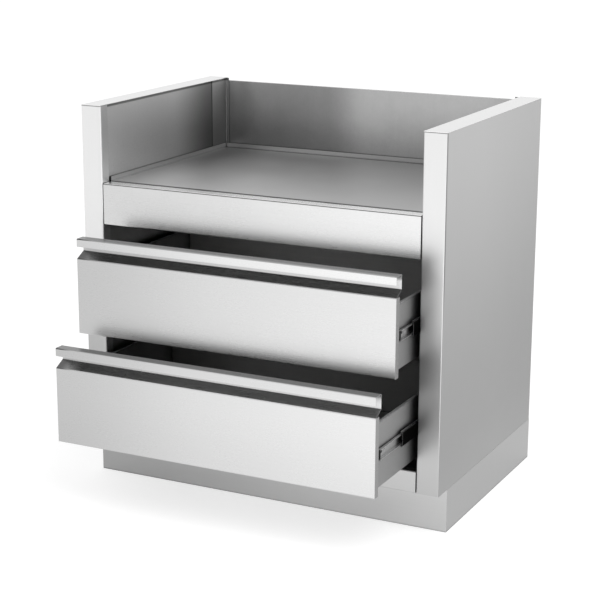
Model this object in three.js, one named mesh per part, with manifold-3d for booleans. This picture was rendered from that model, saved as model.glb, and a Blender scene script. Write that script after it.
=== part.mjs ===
// Outdoor kitchen base: a stainless steel cabinet with two drawers under a bay for a drop-in grill head.
// Millimetres, +Z up, the front looks along -Y. Pieces are drawn with the drawers shut, with X = 0 on the
// centre line, Y = 0 on the front plane of the cabinet and Z = 0 on the floor. Groups then pull the drawers
// out to the pose of the rest position, and centre the whole on its footprint.
import * as THREE from "three";
import { mergeVertices } from "three/addons/utils/BufferGeometryUtils.js";
import Module from "manifold-3d";

const wasm = await Module();
wasm.setup();

// Driving dimensions of the cabinet
const cabinetWidth = 914;
const cabinetDepth = 610;
const cabinetHeight = 914;
const wallWidth = 53.5;
const plinthHeight = 102;
const plinthRecess = 51;
const sheet = 1.2;
const bendRadius = 1.2;
const bendSteps = 2;
const fitGap = 0.3;

// Side walls: an outer skin folded round the front and the back, and an inner liner behind its returns
const frontReturn = 28;
const rearReturn = 20;
const linerTuck = 12;
const linerRearInset = 20;
const capLip = 12;
const rearAngleDepth = 73.2;
const rearAngleStrip = 9;

// Back panel, a shallow pan set between the walls
const backPanelInset = 12.5;
const backPanelFlange = 10;
const backPanelDrop = 7;

// Front apron, front rail and tray
const apronHeight = 97.5;
const apronTopFlange = 32;
const apronTopLip = 12;
const apronBottomFlange = 22;
const frontEndGap = 2;
const endTabJoggle = 15;
const endTabLength = 12;
const railHeight = 51;
const railTopFlange = 24;
const railBottomFlange = 40;
const trayFrontGap = 1.2;
const trayFrontLip = 14;
const trayDrop = 1;
const trayLip = 12;
const floorLip = 20;
const floorFrontGap = 1;

// Plinth and levelling feet
const plinthTopFlange = 40;
const plinthBottomFlange = 20;
const footInsetX = 87;
const footInsetY = 70;
const footPadRadius = 22;
const footPadHeight = 8;
const footStemRadius = 5;
const footNutRadius = 9;
const footNutHeight = 8;
const footNutLift = 50;
const footPlateRadius = 26;
const footPlateHeight = 4;
const footSides = 16;

// Drawers: two alike, with gaps above, between and below them
const drawerSpaceGap = 10.5;
const drawerSideGap = 4.5;
const faceHeight = 178;
const bevelRise = 14;
const webHeight = 33;
const handleDepth = 27;
const handleLip = 19;
const panDepth = 18;
const boxRearOverhang = 18;
const boxTopDrop = 20;
const boxBottomLift = 12;
const boxTopFlange = 8;
const boxBottomFlange = 10;
const linerPanelLip = 10;
const upperOpening = 120.5;
const lowerOpening = 218;

// Ball runners: outer, middle and inner members with a ball cage between each two
const runnerFrontInset = 30;
const runnerRearSpace = 130;
const runnerWidth = 12.7;
const runnerHeight = 45.5;
const runnerLift = 90;
const runnerSheet = 1.2;
const outerFlange = 9.5;
const outerLip = 2.4;
const middleWebOffset = 2.4;
const middleFlangeEnd = 10.5;
const middleLip = 2;
const innerFlangeStart = 5;
const innerFrontLead = 4;
const ballRadius = 1.95;
const innerBallRadius = 1.75;
const ballGap = 0.3;
const cageSheet = 0.6;
const cageLength = 150;
const cageBalls = 4;
const cageBallInset = 12;
const outerCageStart = 150;
const innerCageStart = 152;
const ballSides = 6;
const ballRings = 4;
const middleRearGap = 6;
const stopHalfHeight = 6;
const stopReach = 9;
const bumperLength = 3.6;
const middleTravelShare = 0.5;
const outerCageTravelShare = 0.25;
const innerCageTravelShare = 0.75;

// Places worked out from the sizes
const halfWidth = cabinetWidth / 2;
const bayHalf = halfWidth - wallWidth;
const linerFace = bayHalf + sheet + fitGap;
const linerBack = linerFace + sheet;
const wallTop = cabinetHeight - sheet - fitGap;
const wallBottom = plinthHeight + sheet + fitGap;
const railTop = plinthHeight + railHeight;
const drawerHeight = faceHeight + bevelRise + webHeight;
const lowerFaceBottom = railTop + drawerSpaceGap;
const upperFaceBottom = lowerFaceBottom + drawerHeight + drawerSpaceGap;
const apronBottom = upperFaceBottom + drawerHeight + drawerSpaceGap;
const apronTop = apronBottom + apronHeight;
const backPanelFront = cabinetDepth - backPanelInset;
const rearStripBack = backPanelFront - fitGap;
const rearAngleStart = rearStripBack - rearAngleDepth;
const insertHalf = bayHalf - fitGap;
const insertRear = rearStripBack - sheet - bendRadius;
const floorLevel = plinthHeight + sheet + 2 * fitGap;
const runnerWall = linerFace - fitGap;
const boxHalf = runnerWall - runnerWidth - fitGap;
const faceHalf = bayHalf - drawerSideGap;
const runnerEnd = cabinetDepth - runnerRearSpace;
const runnerLength = runnerEnd - runnerFrontInset;
const boxRear = runnerEnd + boxRearOverhang;
const runnerHalf = runnerHeight / 2;
const outerRace = runnerHalf - runnerSheet;
const outerBallHeight = outerRace - ballGap - ballRadius;
const middleHalf = outerBallHeight - ballRadius - ballGap;
const innerBallHeight = middleHalf - runnerSheet - ballGap - innerBallRadius;
const innerHalf = innerBallHeight - innerBallRadius - ballGap;

// Materials
function steel(color, roughness, metalness) {
  return new THREE.MeshStandardMaterial({ color, roughness, metalness, flatShading: true });
}
const brushedSteel = steel(0xd8dadb, 0.34, 1);
const linerSteel = steel(0xb9bbbd, 0.42, 1);
const zincSteel = steel(0xc3c8cc, 0.36, 1);
const cageSteel = steel(0xa9abae, 0.45, 1);
const footSteel = steel(0x9a9da0, 0.5, 1);
const rubber = steel(0x26272a, 0.9, 0);

// A closed three.js geometry as a solid that can be joined and cut
function solidOf(geometry) {
  geometry.deleteAttribute("normal");
  geometry.deleteAttribute("uv");
  const merged = mergeVertices(geometry);
  return new wasm.Manifold(
    new wasm.Mesh({
      numProp: 3,
      vertProperties: new Float32Array(merged.attributes.position.array),
      triVerts: new Uint32Array(merged.index.array),
    }),
  );
}

function join(solids) {
  return solids.reduce((sum, solid) => sum.add(solid));
}

// A block between two values on each axis, given in either order
function block(x, y, z) {
  const spans = [x, y, z].map((span) => [Math.min(...span), Math.max(...span)]);
  const geometry = new THREE.BoxGeometry(...spans.map(([low, high]) => high - low));
  geometry.translate(...spans.map(([low, high]) => (low + high) / 2));
  return solidOf(geometry);
}

// The axes of an outline's plane: (Y, Z) for a prism along X, (Z, X) along Y and (X, Y) along Z
const planes = { x: ["y", "z", "x"], y: ["z", "x", "y"], z: ["x", "y", "z"] };

function axisVector(axis) {
  return new THREE.Vector3(Number(axis === "x"), Number(axis === "y"), Number(axis === "z"));
}

function prism(outline, axis, from, to) {
  const shape = new THREE.Shape(outline.map(([u, v]) => new THREE.Vector2(u, v)));
  const geometry = new THREE.ExtrudeGeometry(shape, { depth: to - from, bevelEnabled: false });
  geometry.translate(0, 0, from);
  geometry.applyMatrix4(new THREE.Matrix4().makeBasis(...planes[axis].map(axisVector)));
  return solidOf(geometry);
}

// The section of a folded sheet: the path is one face, and the sheet lies to its left with rounded bends
function foldedOutline(path, thickness, radius, steps) {
  const points = path.map(([u, v]) => new THREE.Vector2(u, v));
  const normals = points.slice(1).map((point, i) => {
    const along = point.clone().sub(points[i]).normalize();
    return new THREE.Vector2(-along.y, along.x);
  });
  const near = [points[0]];
  const far = [points[0].clone().addScaledVector(normals[0], thickness)];
  for (let i = 1; i < points.length - 1; i += 1) {
    const [before, after] = [normals[i - 1], normals[i]];
    const turn = Math.atan2(before.cross(after), before.dot(after));
    const side = Math.sign(turn);
    const nearRadius = side > 0 ? radius + thickness : radius;
    const mitre = before.clone().add(after).divideScalar(1 + before.dot(after));
    const centre = points[i].clone().addScaledVector(mitre, side * nearRadius);
    for (let k = 0; k <= steps; k += 1) {
      const normal = before.clone().rotateAround(new THREE.Vector2(), (turn * k) / steps);
      near.push(centre.clone().addScaledVector(normal, -side * nearRadius));
      far.push(centre.clone().addScaledVector(normal, thickness - side * nearRadius));
    }
  }
  const [last, lastNormal] = [points[points.length - 1], normals[normals.length - 1]];
  near.push(last);
  far.push(last.clone().addScaledVector(lastNormal, thickness));
  return [...near, ...far.reverse()].map((point) => [point.x, point.y]);
}

function foldedSheet(path) {
  return foldedOutline(path, sheet, bendRadius, bendSteps);
}

function mesh(name, solid, material) {
  const { vertProperties, triVerts } = solid.getMesh();
  const geometry = new THREE.BufferGeometry();
  geometry.setAttribute("position", new THREE.BufferAttribute(new Float32Array(vertProperties), 3));
  geometry.setIndex(new THREE.BufferAttribute(new Uint32Array(triVerts), 1));
  geometry.computeVertexNormals();
  const made = new THREE.Mesh(geometry, material.clone());
  made.name = name;
  return made;
}

// Pieces that come in a left and a right copy are drawn on the right, and side -1 mirrors them
const sides = [
  ["left", -1],
  ["right", 1],
];

function mirrorX(outline, side) {
  return outline.map(([x, y]) => [side * x, y]);
}

function sideSkin(side) {
  const section = foldedSheet([
    [bayHalf, frontReturn],
    [bayHalf, 0],
    [halfWidth, 0],
    [halfWidth, cabinetDepth],
    [linerBack + fitGap, cabinetDepth],
    [linerBack + fitGap, cabinetDepth - rearReturn],
  ]);
  const wall = prism(mirrorX(section, side), "z", plinthHeight, wallTop);
  const foot = block(
    [side * (bayHalf + sheet / 2), side * (halfWidth - sheet / 2)],
    [sheet / 2, cabinetDepth - sheet / 2],
    [plinthHeight, plinthHeight + sheet],
  );
  return join([wall, foot]);
}

function sideLiner(side) {
  const depth = [frontReturn - linerTuck, cabinetDepth - linerRearInset];
  return block([side * linerFace, side * linerBack], depth, [wallBottom, wallTop]);
}

function wallCap(side) {
  const top = block(
    [side * bayHalf, side * halfWidth],
    [0, cabinetDepth],
    [cabinetHeight - sheet, cabinetHeight],
  );
  const lips = [linerBack + fitGap, halfWidth - 2 * sheet - fitGap].map((start) =>
    block(
      [side * start, side * (start + sheet)],
      [sheet + bendRadius + fitGap, cabinetDepth - rearReturn - fitGap],
      [cabinetHeight - capLip, cabinetHeight - sheet / 2],
    ),
  );
  return join([top, ...lips]);
}

function rearAngle(side) {
  const section = foldedSheet([
    [bayHalf - rearAngleStrip, rearStripBack - sheet],
    [bayHalf, rearStripBack - sheet],
    [bayHalf, rearAngleStart],
  ]);
  const angle = prism(mirrorX(section, side), "z", wallBottom, wallTop);
  const tab = block(
    [side * (bayHalf - rearAngleStrip), side * (bayHalf - fitGap)],
    [rearStripBack - sheet, rearStripBack],
    [wallTop - sheet, cabinetHeight],
  );
  return join([angle, tab]);
}

function backPanel() {
  const half = bayHalf - 2 * fitGap;
  const height = [floorLevel, cabinetHeight - backPanelDrop];
  const pan = foldedSheet([
    [-half, backPanelFront + backPanelFlange],
    [-half, backPanelFront],
    [half, backPanelFront],
    [half, backPanelFront + backPanelFlange],
  ]);
  const topFlange = block(
    [sheet / 2 - half, half - sheet / 2],
    [backPanelFront, backPanelFront + backPanelFlange],
    [height[1] - sheet, height[1]],
  );
  return join([prism(pan, "z", ...height), topFlange]);
}

// Tabs at both ends of a front member, stepped out behind its face to meet the returns of the walls
function endTabs(height) {
  const faceEnd = bayHalf - frontEndGap;
  return sides.flatMap(([, side]) => [
    block([side * (faceEnd - sheet), side * faceEnd], [sheet / 2, endTabJoggle + sheet], height),
    block([side * (faceEnd - sheet), side * insertHalf], [endTabJoggle, endTabJoggle + sheet], height),
    block(
      [side * (insertHalf - sheet), side * insertHalf],
      [endTabJoggle, endTabJoggle + endTabLength],
      height,
    ),
  ]);
}

function frontApron() {
  const section = foldedSheet([
    [apronTopFlange, apronTop - apronTopLip],
    [apronTopFlange, apronTop],
    [0, apronTop],
    [0, apronBottom],
    [apronBottomFlange, apronBottom],
  ]);
  const half = bayHalf - frontEndGap;
  const tabHeight = [apronBottom + sheet + bendRadius, apronTop - sheet / 2];
  return join([prism(section, "x", -half, half), ...endTabs(tabHeight)]);
}

function frontRail() {
  const section = foldedSheet([
    [railTopFlange, railTop - apronTopLip],
    [railTopFlange, railTop],
    [0, railTop],
    [0, plinthHeight],
    [railBottomFlange, plinthHeight],
  ]);
  const half = bayHalf - frontEndGap;
  const tabHeight = [plinthHeight + sheet / 2, railTop - sheet - bendRadius];
  return join([prism(section, "x", -half, half), ...endTabs(tabHeight)]);
}

// A sheet with its two long sides turned up, drawn in the plane (Z, X)
function traySection(level, lip) {
  return foldedSheet([
    [level + lip, insertHalf],
    [level - sheet, insertHalf],
    [level - sheet, -insertHalf],
    [level + lip, -insertHalf],
  ]);
}

function grillTray() {
  const level = apronTop - trayDrop;
  const front = apronTopFlange + trayFrontGap;
  const inner = insertHalf - sheet / 2;
  const rearLip = block([-inner, inner], [insertRear - sheet, insertRear], [level - sheet, level + trayLip]);
  const frontLip = block([-inner, inner], [front, front + sheet], [level - trayFrontLip, level]);
  return join([prism(traySection(level, trayLip), "y", front, insertRear), rearLip, frontLip]);
}

function floorPanel() {
  const front = frontReturn + floorFrontGap;
  return prism(traySection(floorLevel + sheet, floorLip), "y", front, insertRear);
}

// One side of the plinth: an upright face with flanges turned in at the top and the bottom
function plinthBar(faceSpan, topSpan, bottomSpan) {
  const top = plinthHeight - fitGap;
  return join([
    block(...faceSpan, [0, top]),
    block(...topSpan, [top - sheet, top]),
    block(...bottomSpan, [0, sheet]),
  ]);
}

function plinthEnd(face, inward) {
  const topHalf = halfWidth - plinthTopFlange - fitGap;
  const bottomHalf = halfWidth - plinthBottomFlange - fitGap;
  return plinthBar(
    [[-halfWidth, halfWidth], [face, face + inward * sheet]],
    [[-topHalf, topHalf], [face, face + inward * plinthTopFlange]],
    [[-bottomHalf, bottomHalf], [face, face + inward * plinthBottomFlange]],
  );
}

function plinthSide(side) {
  const depth = [plinthRecess + sheet + fitGap, cabinetDepth - sheet - fitGap];
  return plinthBar(
    [[side * halfWidth, side * (halfWidth - sheet)], depth],
    [[side * halfWidth, side * (halfWidth - plinthTopFlange)], depth],
    [[side * halfWidth, side * (halfWidth - plinthBottomFlange)], depth],
  );
}

function levellingFoot(x, y) {
  const top = floorLevel - fitGap;
  const nutBottom = footPadHeight + footNutLift;
  const profile = [
    [0, 0],
    [footPadRadius, 0],
    [footPadRadius, footPadHeight / 2],
    [footStemRadius, footPadHeight],
    [footStemRadius, nutBottom],
    [footNutRadius, nutBottom],
    [footNutRadius, nutBottom + footNutHeight],
    [footStemRadius, nutBottom + footNutHeight],
    [footStemRadius, top - footPlateHeight],
    [footPlateRadius, top - footPlateHeight],
    [footPlateRadius, top],
    [0, top],
  ];
  const geometry = new THREE.LatheGeometry(
    profile.map(([radius, height]) => new THREE.Vector2(radius, height)),
    footSides,
  );
  geometry.rotateX(Math.PI / 2);
  geometry.translate(x, y, 0);
  return solidOf(geometry);
}

// Runner sections are drawn as (distance from the wall liner, height above the runner's middle)
function runnerPrism(section, side, level, front, length) {
  const outline = section.map(([out, up]) => [level + up, side * (runnerWall - out)]);
  return prism(outline, "y", front, front + length);
}

function channelSection(webAt, flangeEnd, half, lip, thickness) {
  const path = [
    [flangeEnd, half - lip],
    [flangeEnd, half],
    [webAt, half],
    [webAt, -half],
    [flangeEnd, -half],
    [flangeEnd, lip - half],
  ];
  return foldedOutline(path, thickness, thickness / 2, 1);
}

function outerMember(side, level) {
  const section = channelSection(0, outerFlange, runnerHalf, outerLip, runnerSheet);
  const stop = block(
    [side * (runnerWall - runnerSheet / 2), side * (runnerWall - stopReach)],
    [runnerEnd - runnerSheet, runnerEnd],
    [level - stopHalfHeight, level + stopHalfHeight],
  );
  return join([runnerPrism(section, side, level, runnerFrontInset, runnerLength), stop]);
}

function runnerBumper(side, level) {
  const rear = runnerEnd - runnerSheet - fitGap;
  return block(
    [side * (runnerWall - runnerSheet - fitGap), side * (runnerWall - stopReach)],
    [rear - bumperLength, rear],
    [level - stopHalfHeight, level + stopHalfHeight],
  );
}

function middleMember(side, level) {
  const section = channelSection(middleWebOffset, middleFlangeEnd, middleHalf, middleLip, runnerSheet);
  return runnerPrism(section, side, level, runnerFrontInset, runnerLength - middleRearGap);
}

function innerMember(side, level) {
  const path = [
    [innerFlangeStart, -innerHalf],
    [runnerWidth, -innerHalf],
    [runnerWidth, innerHalf],
    [innerFlangeStart, innerHalf],
  ];
  const section = foldedOutline(path, runnerSheet, runnerSheet / 2, 1);
  const front = runnerFrontInset - innerFrontLead;
  return runnerPrism(section, side, level, front, runnerLength - middleRearGap);
}

// A cage is a thin channel whose flanges hold two rows of balls between two members
function ballCage(side, level, webAt, ballOut, ballUp, radius, start) {
  const half = ballUp + cageSheet / 2;
  const path = [
    [ballOut + radius, half],
    [webAt, half],
    [webAt, -half],
    [ballOut + radius, -half],
  ];
  const section = foldedOutline(path, cageSheet, cageSheet / 2, 1);
  const pitch = (cageLength - 2 * cageBallInset) / (cageBalls - 1);
  const balls = Array.from({ length: 2 * cageBalls }, (_, i) => {
    const ball = new THREE.SphereGeometry(radius, ballSides, ballRings);
    const up = i < cageBalls ? ballUp : -ballUp;
    const along = start + cageBallInset + pitch * (i % cageBalls);
    ball.rotateX(Math.PI / 2);
    ball.translate(side * (runnerWall - ballOut), along, level + up);
    return solidOf(ball);
  });
  return join([runnerPrism(section, side, level, start, cageLength), ...balls]);
}

function outerCage(side, level) {
  const webAt = runnerSheet + fitGap;
  const ballOut = (runnerSheet + outerFlange) / 2;
  return ballCage(side, level, webAt, ballOut, outerBallHeight, ballRadius, outerCageStart);
}

function innerCage(side, level) {
  const webAt = middleWebOffset + runnerSheet + fitGap;
  const ballOut = (middleWebOffset + runnerSheet + middleFlangeEnd) / 2;
  return ballCage(side, level, webAt, ballOut, innerBallHeight, innerBallRadius, innerCageStart);
}

// The drawer's front is one sheet: bottom return, face, bevel, web, top flange and pull lip
function drawerFace(bottom) {
  const faceTop = bottom + faceHeight;
  const top = bottom + drawerHeight;
  const section = foldedSheet([
    [sheet, top - handleLip],
    [sheet, top - sheet],
    [handleDepth, top - sheet],
    [handleDepth, faceTop + bevelRise],
    [0, faceTop],
    [0, bottom],
    [panDepth, bottom],
  ]);
  const returns = sides.map(([, side]) =>
    block(
      [side * faceHalf, side * (faceHalf - sheet)],
      [sheet / 2, panDepth],
      [bottom + sheet / 2, faceTop],
    ),
  );
  return join([prism(section, "x", -faceHalf, faceHalf), ...returns]);
}

// The sheet that closes the face from behind and is the front wall of the drawer box
function boxFront(bottom) {
  const half = faceHalf - fitGap - sheet;
  const front = panDepth - sheet - fitGap;
  const low = bottom + sheet + fitGap;
  return join([
    block([-half, half], [front, front + sheet], [low, bottom + faceHeight]),
    block([-half, half], [front - linerPanelLip, front + sheet], [low, low + sheet]),
  ]);
}

function boxSide(side, bottom) {
  const front = panDepth;
  const low = bottom + boxBottomLift;
  const high = bottom + faceHeight - boxTopDrop;
  const section = foldedSheet([
    [high, boxHalf - boxTopFlange],
    [high, boxHalf],
    [low, boxHalf],
    [low, boxHalf - boxBottomFlange],
  ]);
  return prism(section.map(([z, x]) => [z, side * x]), "y", front, boxRear);
}

function boxBack(bottom) {
  const half = boxHalf - sheet - fitGap;
  const low = bottom + boxBottomLift + sheet + bendRadius;
  const high = bottom + faceHeight - boxTopDrop - sheet - bendRadius;
  const section = foldedSheet([
    [boxRear - boxBottomFlange, low],
    [boxRear, low],
    [boxRear, high],
    [boxRear - boxTopFlange, high],
  ]);
  return prism(section, "x", -half, half);
}

function boxFloor(bottom) {
  const half = boxHalf - sheet - fitGap;
  const low = bottom + boxBottomLift + 2 * sheet + bendRadius + fitGap;
  return block([-half, half], [panDepth + fitGap, boxRear - sheet - bendRadius], [low, low + sheet]);
}

// Groups: the fixed cabinet, and for each drawer the bodies that move with it
const unit = new THREE.Group();
unit.name = "outdoor_kitchen_drawer_unit";
const cabinet = new THREE.Group();
unit.add(cabinet);

for (const [hand, side] of sides) {
  cabinet.add(mesh(`side_skin_${hand}`, sideSkin(side), brushedSteel));
  cabinet.add(mesh(`side_liner_${hand}`, sideLiner(side), linerSteel));
  cabinet.add(mesh(`wall_cap_${hand}`, wallCap(side), brushedSteel));
  cabinet.add(mesh(`rear_angle_${hand}`, rearAngle(side), linerSteel));
  cabinet.add(mesh(`plinth_side_${hand}`, plinthSide(side), brushedSteel));
  const footX = side * (halfWidth - footInsetX);
  const front = levellingFoot(footX, plinthRecess + footInsetY);
  const rear = levellingFoot(footX, cabinetDepth - footInsetY);
  cabinet.add(mesh(`levelling_foot_front_${hand}`, front, footSteel));
  cabinet.add(mesh(`levelling_foot_rear_${hand}`, rear, footSteel));
}
cabinet.add(mesh("back_panel", backPanel(), linerSteel));
cabinet.add(mesh("front_apron", frontApron(), brushedSteel));
cabinet.add(mesh("front_rail", frontRail(), brushedSteel));
cabinet.add(mesh("grill_tray", grillTray(), linerSteel));
cabinet.add(mesh("floor_panel", floorPanel(), linerSteel));
cabinet.add(mesh("plinth_front", plinthEnd(plinthRecess, 1), brushedSteel));
cabinet.add(mesh("plinth_rear", plinthEnd(cabinetDepth, -1), brushedSteel));

function addDrawer(name, bottom, opening) {
  const level = bottom + runnerLift;
  const movers = [1, middleTravelShare, outerCageTravelShare, innerCageTravelShare].map((share) => {
    const group = new THREE.Group();
    group.position.y = -share * opening;
    unit.add(group);
    return group;
  });
  const [drawer, middles, outerCages, innerCages] = movers;
  drawer.add(mesh(`${name}_drawer_face`, drawerFace(bottom), brushedSteel));
  drawer.add(mesh(`${name}_box_front`, boxFront(bottom), linerSteel));
  drawer.add(mesh(`${name}_box_back`, boxBack(bottom), linerSteel));
  drawer.add(mesh(`${name}_box_floor`, boxFloor(bottom), linerSteel));
  for (const [hand, side] of sides) {
    drawer.add(mesh(`${name}_box_side_${hand}`, boxSide(side, bottom), linerSteel));
    drawer.add(mesh(`${name}_runner_inner_${hand}`, innerMember(side, level), zincSteel));
    middles.add(mesh(`${name}_runner_middle_${hand}`, middleMember(side, level), zincSteel));
    outerCages.add(mesh(`${name}_outer_cage_${hand}`, outerCage(side, level), cageSteel));
    innerCages.add(mesh(`${name}_inner_cage_${hand}`, innerCage(side, level), cageSteel));
    cabinet.add(mesh(`${name}_runner_outer_${hand}`, outerMember(side, level), zincSteel));
    cabinet.add(mesh(`${name}_runner_bumper_${hand}`, runnerBumper(side, level), rubber));
  }
}

addDrawer("upper", upperFaceBottom, upperOpening);
addDrawer("lower", lowerFaceBottom, lowerOpening);

// The origin is under the middle of the box that holds the unit with its drawers at rest
unit.position.y = (lowerOpening - cabinetDepth) / 2;

export default unit;
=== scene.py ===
import math

import bpy
import bmesh
from mathutils import Matrix, Vector


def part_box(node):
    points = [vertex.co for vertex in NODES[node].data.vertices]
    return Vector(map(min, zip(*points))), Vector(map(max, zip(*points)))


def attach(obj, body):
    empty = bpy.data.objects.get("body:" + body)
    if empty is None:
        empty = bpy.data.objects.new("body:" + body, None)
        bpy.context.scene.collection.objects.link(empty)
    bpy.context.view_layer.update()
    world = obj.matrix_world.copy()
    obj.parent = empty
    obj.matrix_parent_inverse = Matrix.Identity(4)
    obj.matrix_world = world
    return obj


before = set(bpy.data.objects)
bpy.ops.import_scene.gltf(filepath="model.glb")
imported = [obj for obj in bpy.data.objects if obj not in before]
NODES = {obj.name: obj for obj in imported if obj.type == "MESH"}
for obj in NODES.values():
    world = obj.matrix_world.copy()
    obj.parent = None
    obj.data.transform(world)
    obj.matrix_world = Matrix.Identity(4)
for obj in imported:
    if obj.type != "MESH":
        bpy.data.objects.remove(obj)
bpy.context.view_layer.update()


# Node helpers

class Nodes:
    """A node tree with short calls for the few node kinds that the materials use."""

    def __init__(self, tree):
        self.tree = tree
        tree.nodes.clear()

    def add(self, kind, **settings):
        node = self.tree.nodes.new(kind)
        for name, value in settings.items():
            setattr(node, name, value)
        return node

    def link(self, source, target):
        self.tree.links.new(source, target)

    def feed(self, socket, value):
        """Link an output to the socket, or set a number on it."""
        if isinstance(value, bpy.types.NodeSocket):
            self.link(value, socket)
        else:
            socket.default_value = value

    def math(self, operation, *values):
        node = self.add("ShaderNodeMath", operation=operation)
        for socket, value in zip(node.inputs, values):
            self.feed(socket, value)
        return node.outputs[0]

    def ramp(self, value, low, high, to_low=0.0, to_high=1.0, smooth=True):
        """The value's range from low to high, mapped to to_low and to_high."""
        node = self.add("ShaderNodeMapRange", interpolation_type="SMOOTHSTEP" if smooth else "LINEAR")
        settings = {"Value": value, "From Min": low, "From Max": high, "To Min": to_low, "To Max": to_high}
        for socket, setting in settings.items():
            self.feed(node.inputs[socket], setting)
        return node.outputs["Result"]

    def mix(self, factor, a, b):
        node = self.add("ShaderNodeMix", data_type="FLOAT")
        self.feed(node.inputs[0], factor)
        self.feed(node.inputs[2], a)
        self.feed(node.inputs[3], b)
        return node.outputs["Result"]

    def split(self, vector):
        node = self.add("ShaderNodeSeparateXYZ")
        self.link(vector, node.inputs[0])
        return node.outputs

    def noise(self, vector, scale, detail=2.0, roughness=0.5):
        mapping = self.add("ShaderNodeMapping")
        self.link(vector, mapping.inputs["Vector"])
        mapping.inputs["Scale"].default_value = scale
        node = self.add("ShaderNodeTexNoise")
        self.link(mapping.outputs["Vector"], node.inputs["Vector"])
        node.inputs["Scale"].default_value = 1.0
        node.inputs["Detail"].default_value = detail
        node.inputs["Roughness"].default_value = roughness
        return node.outputs["Fac"]

    def shelter(self, reach):
        """1 where nothing is near, 0 where neighbours within reach close the view."""
        node = self.add("ShaderNodeAmbientOcclusion", samples=8)
        node.inputs["Distance"].default_value = reach
        return node.outputs["AO"]

    def edge(self, radius):
        """1 on outer and inner folds within radius, 0 on flat sheet."""
        rounded = self.add("ShaderNodeBevel", samples=4)
        rounded.inputs["Radius"].default_value = radius
        match = self.add("ShaderNodeVectorMath", operation="DOT_PRODUCT")
        self.link(rounded.outputs["Normal"], match.inputs[0])
        self.link(self.add("ShaderNodeNewGeometry").outputs["Normal"], match.inputs[1])
        return self.ramp(match.outputs["Value"], *UNBENT, 1.0, 0.0)

    def bump(self, height, strength):
        node = self.add("ShaderNodeBump")
        node.inputs["Strength"].default_value = strength
        node.inputs["Distance"].default_value = BUMP_DISTANCE
        self.link(height, node.inputs["Height"])
        return node.outputs["Normal"]

    def seen(self):
        """1 for rays from the camera and for the ones that reflect or pass through, else 0."""
        path = self.add("ShaderNodeLightPath")
        direct = self.math("MAXIMUM", path.outputs["Is Camera Ray"], path.outputs["Is Glossy Ray"])
        return self.math("MAXIMUM", direct, path.outputs["Is Transmission Ray"])

    def surface(self, shade, roughness, normal, metallic, grazing=1.0):
        """The finished material: one principled shader on the output."""
        grey = self.add("ShaderNodeCombineColor")
        for socket in grey.inputs[:3]:
            self.link(shade, socket)
        shader = self.add("ShaderNodeBsdfPrincipled")
        shader.inputs["Metallic"].default_value = metallic
        shader.inputs["Specular Tint"].default_value = (grazing, grazing, grazing, 1.0)
        self.link(grey.outputs[0], shader.inputs["Base Color"])
        self.link(roughness, shader.inputs["Roughness"])
        self.link(normal, shader.inputs["Normal"])
        self.finish("ShaderNodeOutputMaterial", shader)

    def finish(self, kind, shader):
        self.link(shader.outputs[0], self.add(kind).inputs["Surface"])


def new_material(name):
    material = bpy.data.materials.new(name)
    material.use_nodes = True
    return material, Nodes(material.node_tree)


# Materials. Noise scales are in cells per metre, long in the direction of the brushing.

GRAIN = {"x": (9.0, 1300.0, 1300.0), "y": (1300.0, 9.0, 1300.0), "z": (1300.0, 1300.0, 9.0)}
STREAK = {"x": (5.0, 170.0, 170.0), "y": (170.0, 5.0, 170.0), "z": (170.0, 170.0, 5.0)}
SPECK = (420.0, 420.0, 420.0)
CLOUD = (10.0, 10.0, 10.0)
PATCH = (60.0, 60.0, 60.0)
PORES = (2400.0, 2400.0, 2400.0)
SPREAD = (0.3, 0.7)                # range of a noise that is used
PATCH_SPREAD = (0.35, 0.65)
ROUGHNESS_NOISE = (0.6, 1.4)       # range of the grain and the clouds together
STREAK_SHARE, SPECK_SHARE = 0.6, 1.0
BUMP_DISTANCE = 0.0001
ROUGHNESS_SPREAD = 0.025
# Painted shade in crevices and hollows, darker where neighbours close the view
CREVICE_REACH = 0.006
SHELTERED = (0.35, 0.95)           # range over which the painted shade of a crevice or hollow fades out
# Edge wear and painted highlight: folds, in uneven patches, get a smoother finish and a lighter tone
EDGE_RADIUS = 0.0012
UNBENT = (0.85, 0.99)              # how well a rounded normal matches the flat one, from a full mark of wear and painted highlight to plain sheet
EDGE_LEAST = 0.3
EDGE_SHINE = 1.12
EDGE_POLISH = 0.06
FACING = (0.5, 0.9)                # how far a normal leans one way before its face counts as facing it
LEVEL = (0.85, 0.97)               # the same for faces that look up
SLANTED = (0.15, 0.35)             # lower end of the slant of the pulls' bevels
BEVEL_END_SHADE_RANGE = (-0.390, -0.352)     # places along X from the bevels' left end, with painted shade over a bright reflection, to the plain bevel
# painted shade at the bevels' left end, as a share of the bevel's scale
BEVEL_END_PAINTED_SHADE = 0.08
RUBBER_TONE = (0.016, 0.026)
RUBBER_ROUGHNESS = (0.75, 0.90)
RUBBER_RELIEF = 0.3


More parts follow.
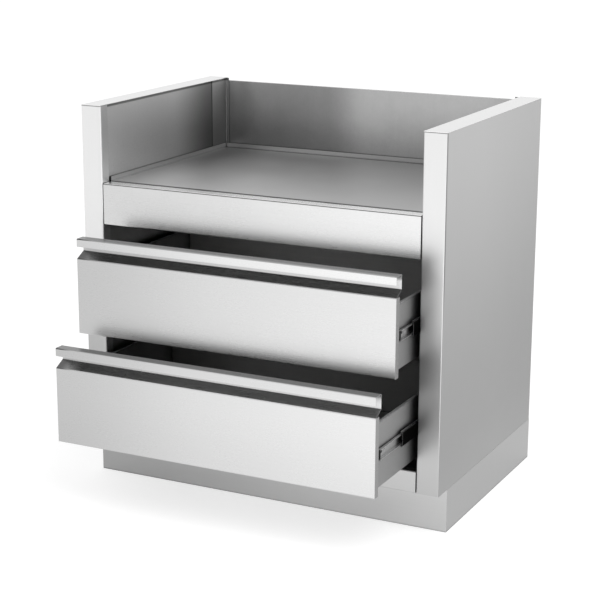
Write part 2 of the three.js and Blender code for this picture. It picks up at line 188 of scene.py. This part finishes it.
def steel(name, tone, rough, along, mottle, blotch=0.9, relief=0.05, outer=1.0, inner=1.0, top=1.0,
          bevel=1.0, fronts=(), walls=(), tops=(), fades=(), lines=(), crevice=0.45, hollow=None,
          grazing=1.0):
    """Brushed steel sheet.

    tone is its linear grey, along the axis of the brushing, mottle the depth of the grain's and
    the clouds' variation, blotch the share of the clouds in it, and relief the strength of the bump.
    outer and inner scale the tone on faces that look outward and inward along X, top on faces that
    look up, and bevel on slanted ones: painted light and shade by facing. fronts, walls and tops are
    painted changes of light and shade on the faces that look forward, outward and up, and fades are
    such painted changes on all faces. lines are narrow lines of painted shade, or of painted
    highlight where their scale is above 1, along seams, folds and lips. crevice is the painted shade
    within 6 mm of a neighbour, and hollow is (reach, shade) of the painted shade in wider hollows.
    grazing scales what the steel reflects at a grazing angle.
    """
    material, n = new_material(name)
    coordinate = n.add("ShaderNodeTexCoord")
    at = coordinate.outputs["Object"]
    place = n.split(at)
    normal = n.split(coordinate.outputs["Normal"])
    outward = n.math("MULTIPLY", normal["X"], n.math("SIGN", place["X"]))
    forward = n.math("MULTIPLY", normal["Y"], -1.0)

    grain = n.noise(at, GRAIN[along], 2.0)
    streak = n.noise(at, STREAK[along], 3.0)
    speck = n.noise(at, SPECK, 2.0, 0.6)
    cloud = n.noise(at, CLOUD, 5.0, 0.7)
    factor = n.ramp(grain, *SPREAD, 1 - mottle, 1 + mottle, False)
    for source, share in ((streak, STREAK_SHARE), (speck, SPECK_SHARE), (cloud, blotch)):
        factor = n.math("ADD", factor, n.ramp(source, *SPREAD, -share * mottle, share * mottle, False))
    shade = n.math("MULTIPLY", factor, tone)

    # Painted light and shade by facing: faces that look outward, inward and up, and slanted ones, each get
    # their own scale of tone
    if outer != 1.0:
        shade = n.math("MULTIPLY", shade, n.ramp(outward, *FACING, 1.0, outer))
    if inner != 1.0:
        shade = n.math("MULTIPLY", shade, n.ramp(outward, -FACING[1], -FACING[0], inner, 1.0))
    if top != 1.0:
        shade = n.math("MULTIPLY", shade, n.ramp(normal["Z"], *LEVEL, 1.0, top))
    # Painted shade on the pulls' slanted bevels, far darker at their left end, where they reflect a bright
    # glint
    if bevel != 1.0:
        slanted = n.math("MULTIPLY", n.ramp(normal["Z"], *SLANTED), n.ramp(normal["Z"], *LEVEL, 1.0, 0.0))
        scale = n.ramp(place["X"], *BEVEL_END_SHADE_RANGE, BEVEL_END_PAINTED_SHADE * bevel, bevel)
        shade = n.math("MULTIPLY", shade, n.mix(slanted, 1.0, scale))
    # Painted changes of light and shade over the faces that look forward, outward and up
    for facing, changes in ((forward, fronts), (outward, walls), (normal["Z"], tops)):
        for axis, start, end, first, last, *gate in changes:
            change = n.ramp(place[axis], start, end, first, last)
            if gate:
                gate_axis, closed, opened = gate
                change = n.mix(n.ramp(place[gate_axis], closed, opened), 1.0, change)
            shade = n.math("MULTIPLY", shade, n.mix(n.ramp(facing, *FACING), 1.0, change))
    # Painted changes of light and shade over all faces
    for axis, start, end, first, last in fades:
        shade = n.math("MULTIPLY", shade, n.ramp(place[axis], start, end, first, last))
    # Narrow lines of painted shade, and of painted highlight where the scale is above 1
    for axis, middle, half, painted_scale in lines:
        off = n.math("ABSOLUTE", n.math("SUBTRACT", place[axis], middle))
        shade = n.math("MULTIPLY", shade, n.ramp(off, 0.5 * half, 1.5 * half, painted_scale, 1.0))
    # Painted shade in crevices and hollows
    for reach, painted_scale in ((CREVICE_REACH, crevice), hollow or (0.0, 1.0)):
        if painted_scale != 1.0:
            shade = n.math("MULTIPLY", shade, n.ramp(n.shelter(reach), *SHELTERED, painted_scale, 1.0))

    # Edge wear and painted highlight on the folds
    uneven = n.ramp(n.noise(at, PATCH, 3.0), *PATCH_SPREAD, EDGE_LEAST, 1.0)
    wear_and_highlight = n.math("MULTIPLY", n.edge(EDGE_RADIUS), uneven)
    shade = n.math("MULTIPLY", shade, n.ramp(wear_and_highlight, 0.0, 1.0, 1.0, EDGE_SHINE, False))
    roughness = n.ramp(n.math("ADD", grain, cloud), *ROUGHNESS_NOISE,
                       rough - ROUGHNESS_SPREAD, rough + ROUGHNESS_SPREAD, False)
    roughness = n.math("SUBTRACT", roughness, n.math("MULTIPLY", wear_and_highlight, EDGE_POLISH))
    n.surface(shade, roughness, n.bump(n.math("ADD", grain, speck), relief), metallic=1.0, grazing=grazing)
    return material


def rubber(name):
    material, n = new_material(name)
    pores = n.noise(n.add("ShaderNodeTexCoord").outputs["Object"], PORES, 3.0)
    shade = n.ramp(pores, *SPREAD, *RUBBER_TONE, False)
    roughness = n.ramp(pores, *SPREAD, *RUBBER_ROUGHNESS, False)
    n.surface(shade, roughness, n.bump(pores, RUBBER_RELIEF), metallic=0.0)
    return material


# Painted light and shade: changes of tone over a sheet, as (axis, start, end, scale at the start,
# scale at the end). Some go on with a second axis, the place on it where the change has no effect,
# and the one where it is full.

POST_RISE = ("Z", 0.10, 0.75, 0.64, 1.0)
LEFT_POST = ("X", -0.42, -0.38, 1.13, 1.0)
LEFT_POST_LOW = ("X", -0.42, -0.38, 0.75, 1.0, "Z", 0.58, 0.46)
# seam under the wall caps, darkened with painted shade
CAP_SEAM_SHADE = ("Z", 0.9105, 0.9118, 1.0, 0.25)
WALL_RISE = ("Z", 0.25, 1.0, 0.74, 1.22)
WALL_FOOT = ("Z", 0.10, 0.22, 1.07, 1.0)
WALL_DEPTH = ("Y", 0.0, 0.414, 1.0, 0.92)
# fold at the walls' front corner, darkened with painted shade
WALL_FOLD_SHADE = ("Y", -0.1915, -0.1885, 0.55, 1.0, "Z", 0.48, 0.62)
FACE_LEFT = ("X", -0.40, 0.0, 0.86, 1.0)
LOWER_FACE_FOOT = ("Z", 0.16, 0.33, 0.94, 1.0)
APRON_RIGHT = ("X", -0.30, 0.25, 1.0, 1.07)
PLINTH_LEFT = ("X", -0.40, 0.25, 0.70, 1.0)
LINER_DEPTH = ("Y", 0.12, 0.33, 1.42, 0.45)
BACK_LEFT = ("X", -0.375, -0.245, 1.0, 0.58)
BACK_RIGHT = ("X", -0.115, 0.015, 1.0, 1.72)
# painted shadow on the tray behind the apron's flange
TRAY_SEAM_SHADE = ("Y", -0.1540, -0.1450, 0.03, 1.0)
TRAY_FRONT = ("Y", -0.16, 0.10, 1.04, 1.0)
TRAY_REAR = ("Y", 0.15, 0.38, 1.0, 1.10)
TRAY_LEFT = ("X", -0.40, -0.28, 0.84, 1.0)
TRAY_RIGHT = ("X", -0.25, 0.35, 1.0, 0.80)
INSIDE_FOOT = ("Z", 0.35, 0.40, 0.75, 1.0)
INSIDE_RIGHT = ("X", 0.05, 0.36, 1.0, 0.72)

# Narrow lines of painted shade, or of painted highlight where the shade is above 1, along seams,
# folds and lips, as (axis, middle, half width, shade)

TRAY_LIP_END = ("Y", -0.1628, 0.0020, 0.10)
TRAY_LIP = ("Y", 0.3990, 0.0040, 0.55)
BAY_TOP_SHADE = ("Z", 0.9110, 0.0035, 0.35)
APRON_FOLD_SHADE = ("Z", 0.7304, 0.0010, 0.25)
UPPER_LIP_HIGHLIGHT = ("Z", 0.6145, 0.0100, 1.14)
LOWER_LIP_SHADE = ("Z", 0.3790, 0.0100, 0.94)

# In the looks, outer, inner, top, bevel, fronts, walls, tops, fades, lines, crevice and hollow are painted
# light and shade
DRAWER_FRONT = {"tone": 0.575, "rough": 0.28, "along": "x", "mottle": 0.004, "relief": 0.01,
                "outer": 0.45, "top": 0.38, "hollow": (0.035, 0.72)}
LOOKS = {
    "skin": steel("brushed_steel_skin", tone=0.66, rough=0.36, along="z", mottle=0.006,
                  outer=0.60, inner=1.3, fronts=[POST_RISE, LEFT_POST, LEFT_POST_LOW, CAP_SEAM_SHADE],
                  walls=[WALL_RISE, WALL_FOOT, WALL_DEPTH, WALL_FOLD_SHADE]),
    "upper_front": steel("brushed_steel_upper_front", **DRAWER_FRONT, bevel=0.65,
                         lines=[UPPER_LIP_HIGHLIGHT], fades=[FACE_LEFT]),
    "lower_front": steel("brushed_steel_lower_front", **DRAWER_FRONT, bevel=1.1,
                         lines=[LOWER_LIP_SHADE], fades=[FACE_LEFT, LOWER_FACE_FOOT]),
    "apron": steel("brushed_steel_apron", tone=0.61, rough=0.28, along="x", mottle=0.010,
                   blotch=2.5, relief=0.02, top=1.6, lines=[APRON_FOLD_SHADE], fades=[APRON_RIGHT]),
    "rail": steel("brushed_steel_rail", tone=0.46, rough=0.34, along="x", mottle=0.010),
    "cap": steel("brushed_steel_cap", tone=0.79, rough=0.30, along="y", mottle=0.008),
    "plinth_front": steel("brushed_steel_plinth_front", tone=0.50, rough=0.34, along="x", mottle=0.008,
                          fades=[PLINTH_LEFT]),
    "plinth": steel("brushed_steel_plinth", tone=0.52, rough=0.34, along="x", mottle=0.008, outer=0.70),
    "liner": steel("satin_steel_liner", tone=0.68, rough=0.36, along="z", mottle=0.010, relief=0.02,
                   hollow=(0.25, 0.50), lines=[BAY_TOP_SHADE], fades=[LINER_DEPTH]),
    "angle": steel("satin_steel_angle", tone=0.60, rough=0.36, along="z", mottle=0.010, relief=0.02,
                   hollow=(0.25, 0.42), lines=[BAY_TOP_SHADE]),
    "back": steel("satin_steel_back", tone=0.405, rough=0.30, along="z", mottle=0.014, blotch=5.0,
                  relief=0.01, hollow=(0.15, 0.55), fronts=[BACK_LEFT, BACK_RIGHT]),
    "tray": steel("satin_steel_tray", tone=0.60, rough=0.36, along="x", mottle=0.010, relief=0.01,
                  outer=1.1, inner=1.1, crevice=0.35, tops=[TRAY_SEAM_SHADE],
                  lines=[TRAY_LIP_END, TRAY_LIP],
                  fades=[TRAY_FRONT, TRAY_REAR, TRAY_LEFT, TRAY_RIGHT]),
    "box": steel("satin_steel_box", tone=0.34, rough=0.50, along="y", mottle=0.012,
                 outer=0.85, inner=0.9, top=2.6, crevice=0.80, hollow=(0.08, 0.40)),
    "dull": steel("dull_steel_inside", tone=0.56, rough=0.45, along="x", mottle=0.03,
                  fades=[INSIDE_FOOT, INSIDE_RIGHT]),
    "runner": steel("zinc_plated_runner", tone=0.42, rough=0.32, along="y", mottle=0.05,
                    outer=0.75, top=2.0, crevice=0.95),
    # Painted shade: the middle members' dark tone, dark outer face and dim grazing reflection stand in for
    # the shade they lie in, and their inner and top faces get painted highlights
    "middle": steel("zinc_plated_middle_painted_shade", tone=0.14, rough=0.35, along="y", mottle=0.05,
                    outer=0.17, inner=4.5, top=6.0, crevice=0.95, grazing=0.2),
    "cage": steel("zinc_plated_cage", tone=0.3, rough=0.40, along="y", mottle=0.06),
    "foot": steel("zinc_plated_foot", tone=0.3, rough=0.45, along="z", mottle=0.06),
    "screw": steel("zinc_plated_screw", tone=0.4, rough=0.30, along="y", mottle=0.03),
    "rubber": rubber("black_rubber"),
}

# The first part of a node's name that is found here gives its look
LOOK_RULES = (
    ("side_skin", "skin"), ("side_liner", "liner"), ("wall_cap", "cap"), ("rear_angle", "angle"),
    ("back_panel", "back"), ("front_apron", "apron"), ("front_rail", "rail"), ("grill_tray", "tray"),
    ("plinth_front", "plinth_front"), ("plinth", "plinth"), ("levelling_foot", "foot"),
    ("floor_panel", "dull"), ("_bumper_", "rubber"), ("_runner_middle", "middle"),
    ("_runner_", "runner"), ("_cage_", "cage"), ("upper_drawer_face", "upper_front"),
    ("lower_drawer_face", "lower_front"), ("_box_side", "box"), ("_box_", "dull"),
)


def look_of(name):
    return next(look for part, look in LOOK_RULES if part in name)


for name, node in NODES.items():
    node.data.materials.clear()
    node.data.materials.append(LOOKS[look_of(name)])


# Runner details: screws that hold each inner member to its box, and a rubber stop in its front end

RUNNER_SHEET = 0.0012
SCREW_PLACES = (0.036, 0.164, 0.404)     # from the member's front end
SCREW_PROFILE = ((0.0035, -0.0001), (0.0035, 0.0004), (0.0032, 0.0008), (0.0025, 0.0011),
                 (0.0020, 0.0012), (0.0012, 0.00135))     # radius and height of each ring
SCREW_SIDES = 24
CROSS_REACH = 0.0022
CROSS_DEPTH = 0.0007
CROSS_SIDES = (0, 1)                     # the sides of each quarter that are part of the recess
SCREW_MIDDLE = 0.0006
STOP_OUTLINE = ((0.0, -0.0102), (0.0030, -0.0102), (0.0030, 0.0030), (0.0085, 0.0038),
                (0.0100, 0.0052), (0.0100, 0.0090), (0.0085, 0.0102), (0.0, 0.0102))
STOP_DEPTH = 0.0058
STOP_SOFTENING = 0.0005


def new_piece(name, points, faces, body, material):
    mesh = bpy.data.meshes.new(name)
    mesh.from_pydata(points, [], faces)
    mesh.materials.append(material)
    shell = bmesh.new()
    shell.from_mesh(mesh)
    bmesh.ops.recalc_face_normals(shell, faces=shell.faces)
    shell.to_mesh(mesh)
    shell.free()
    piece = bpy.data.objects.new(name, mesh)
    bpy.context.collection.objects.link(piece)
    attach(piece, body)
    return piece


def screw_head(web, out, along, level, points, faces):
    """A low pan head on the member's web, with a cross recess, added to points and faces."""
    start = len(points)
    for radius, height in SCREW_PROFILE:
        for side in range(SCREW_SIDES):
            angle = 2 * math.pi * side / SCREW_SIDES
            in_cross = radius < CROSS_REACH and side % (SCREW_SIDES // 4) in CROSS_SIDES
            lift = height - CROSS_DEPTH if in_cross else height
            forward, up = radius * math.cos(angle), radius * math.sin(angle)
            points.append((web + out * lift, along + forward, level + up))
    for ring in range(len(SCREW_PROFILE) - 1):
        first = start + ring * SCREW_SIDES
        for side in range(SCREW_SIDES):
            a, b = first + side, first + (side + 1) % SCREW_SIDES
            faces.append((a, b, b + SCREW_SIDES, a + SCREW_SIDES))
    faces.append(tuple(range(start, start + SCREW_SIDES)))
    last = start + (len(SCREW_PROFILE) - 1) * SCREW_SIDES
    points.append((web + out * SCREW_MIDDLE, along, level))
    for side in range(SCREW_SIDES):
        faces.append((last + side, last + (side + 1) % SCREW_SIDES, len(points) - 1))


def runner_details(drawer, hand):
    (x0, y0, z0), (x1, _, z1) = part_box(f"{drawer}_runner_inner_{hand}")
    out = 1 if hand == "right" else -1
    web = (x0 if out > 0 else x1) + out * RUNNER_SHEET
    level = (z0 + z1) / 2

    points, faces = [], []
    for place in SCREW_PLACES:
        screw_head(web, out, y0 + place, level, points, faces)
    new_piece(f"{drawer}_runner_screws_{hand}", points, faces, f"{drawer}_drawer",
              LOOKS["screw"])

    count = len(STOP_OUTLINE)
    points = [(web + out * depth, y0 + y, level + z)
              for depth in (0.0, STOP_DEPTH) for y, z in STOP_OUTLINE]
    faces = [tuple(range(count)), tuple(range(count, 2 * count))]
    faces += [(i, (i + 1) % count, count + (i + 1) % count, count + i) for i in range(count)]
    stop = new_piece(f"{drawer}_runner_stop_{hand}", points, faces, f"{drawer}_drawer",
                     LOOKS["rubber"])
    soften = stop.modifiers.new("soften", "BEVEL")
    soften.width = STOP_SOFTENING
    soften.segments = 2


for drawer in ("upper", "lower"):
    for hand in ("left", "right"):
        runner_details(drawer, hand)


# Floor, light and camera

FLOOR_RADIUS = 30.0
FLOOR_SIDES = 24
FLOOR_TONE = (0.60, 0.60, 0.60, 1.0)
FLOOR_GLOW = 0.62
POOL_GLOW = 0.40                         # more glow on the floor in front, to the right of the object
POOL_ACROSS, POOL_ACROSS_RANGE = (0.864, 0.504), (-0.25, 0.80)
POOL_FRONT_RANGE = (-0.1, -0.9)
WORLD_SEEN, WORLD_LIGHT = 1.0, 0.75

LAMP_PLACE, LAMP_AIM = (1.8, -1.8, 3.2), (0.0, 0.0, 0.4)
LAMP_SIZE = 2.0
LAMP_POWER = 40.0

LENS = 99.858
SENSOR = 36.0
CAMERA_PLACE = (1.7225, -3.4187, 1.4535)
CAMERA_HEADING, CAMERA_DIP, CAMERA_ROLL = 26.53, 14.646, 0.187


def studio_floor():
    turns = [2 * math.pi * side / FLOOR_SIDES for side in range(FLOOR_SIDES)]
    points = [(FLOOR_RADIUS * math.cos(turn), FLOOR_RADIUS * math.sin(turn), 0.0) for turn in turns]
    mesh = bpy.data.meshes.new("studio_floor")
    mesh.from_pydata(points, [], [tuple(range(FLOOR_SIDES))])
    floor = bpy.data.objects.new("studio_floor", mesh)
    bpy.context.collection.objects.link(floor)

    material, n = new_material("studio_floor")
    diffuse = n.add("ShaderNodeBsdfDiffuse")
    diffuse.inputs["Color"].default_value = FLOOR_TONE
    place = n.split(n.add("ShaderNodeTexCoord").outputs["Object"])
    across = n.math("SUBTRACT", n.math("MULTIPLY", place["X"], POOL_ACROSS[0]),
                    n.math("MULTIPLY", place["Y"], POOL_ACROSS[1]))
    pool = n.math("MULTIPLY", n.ramp(across, *POOL_ACROSS_RANGE), n.ramp(place["Y"], *POOL_FRONT_RANGE))
    strength = n.math("ADD", n.math("MULTIPLY", pool, POOL_GLOW), FLOOR_GLOW)
    glow = n.add("ShaderNodeEmission")
    n.link(n.math("MULTIPLY", n.seen(), strength), glow.inputs["Strength"])
    both = n.add("ShaderNodeAddShader")
    n.link(diffuse.outputs[0], both.inputs[0])
    n.link(glow.outputs[0], both.inputs[1])
    n.finish("ShaderNodeOutputMaterial", both)
    mesh.materials.append(material)


def studio_world():
    world = bpy.data.worlds.new("studio")
    world.use_nodes = True
    bpy.context.scene.world = world
    n = Nodes(world.node_tree)
    background = n.add("ShaderNodeBackground")
    background.inputs["Color"].default_value = (1, 1, 1, 1)
    n.link(n.mix(n.seen(), WORLD_LIGHT, WORLD_SEEN), background.inputs["Strength"])
    n.finish("ShaderNodeOutputWorld", background)


def softbox():
    """A soft lamp that lights the floor and draws the shadow, left out of the steel's reflections."""
    lamp = bpy.data.lights.new("softbox_top", "AREA")
    lamp.size = LAMP_SIZE
    lamp.energy = LAMP_POWER
    box = bpy.data.objects.new("softbox_top", lamp)
    box.location = LAMP_PLACE
    box.rotation_euler = (Vector(LAMP_AIM) - Vector(LAMP_PLACE)).to_track_quat("-Z", "Y").to_euler()
    box.visible_glossy = False
    bpy.context.collection.objects.link(box)


def photo_camera():
    data = bpy.data.cameras.new("photo_camera")
    data.sensor_width = SENSOR
    data.lens = LENS
    data.clip_end = 100.0
    camera = bpy.data.objects.new("photo_camera", data)
    heading = Matrix.Rotation(math.radians(CAMERA_HEADING), 4, "Z")
    tilt = Matrix.Rotation(math.radians(90 - CAMERA_DIP), 4, "X")
    roll = Matrix.Rotation(math.radians(CAMERA_ROLL), 4, "Z")
    camera.matrix_world = Matrix.Translation(CAMERA_PLACE) @ heading @ tilt @ roll
    bpy.context.collection.objects.link(camera)
    bpy.context.scene.camera = camera


studio_floor()
studio_world()
softbox()
photo_camera()
bpy.context.scene.view_settings.view_transform = "Standard"
